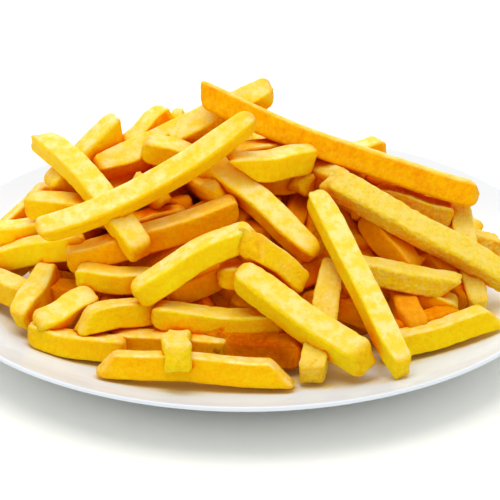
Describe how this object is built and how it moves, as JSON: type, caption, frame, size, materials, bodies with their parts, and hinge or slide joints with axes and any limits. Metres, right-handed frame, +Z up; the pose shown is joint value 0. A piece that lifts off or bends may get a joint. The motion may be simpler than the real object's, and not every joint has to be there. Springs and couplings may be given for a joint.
{
  "type": "french fries portion",
  "caption": "Loose heap of golden french fries lying crosswise on a round white coupe plate with a thin lip and a low foot ring",
  "frame": {"origin": "on the table, under the middle of the plate", "axes": "+Z up, -Y towards the side the picture shows, +X to the right as seen from there"},
  "size_m": [0.258, 0.258, 0.0958],
  "materials": {
    "plate": "smooth white glaze",
    "fries": "dry golden fried crust"
  },
  "bodies": {
    "root": {"plate": "plate", "fries": "fries"}
  },
  "joints": []
}
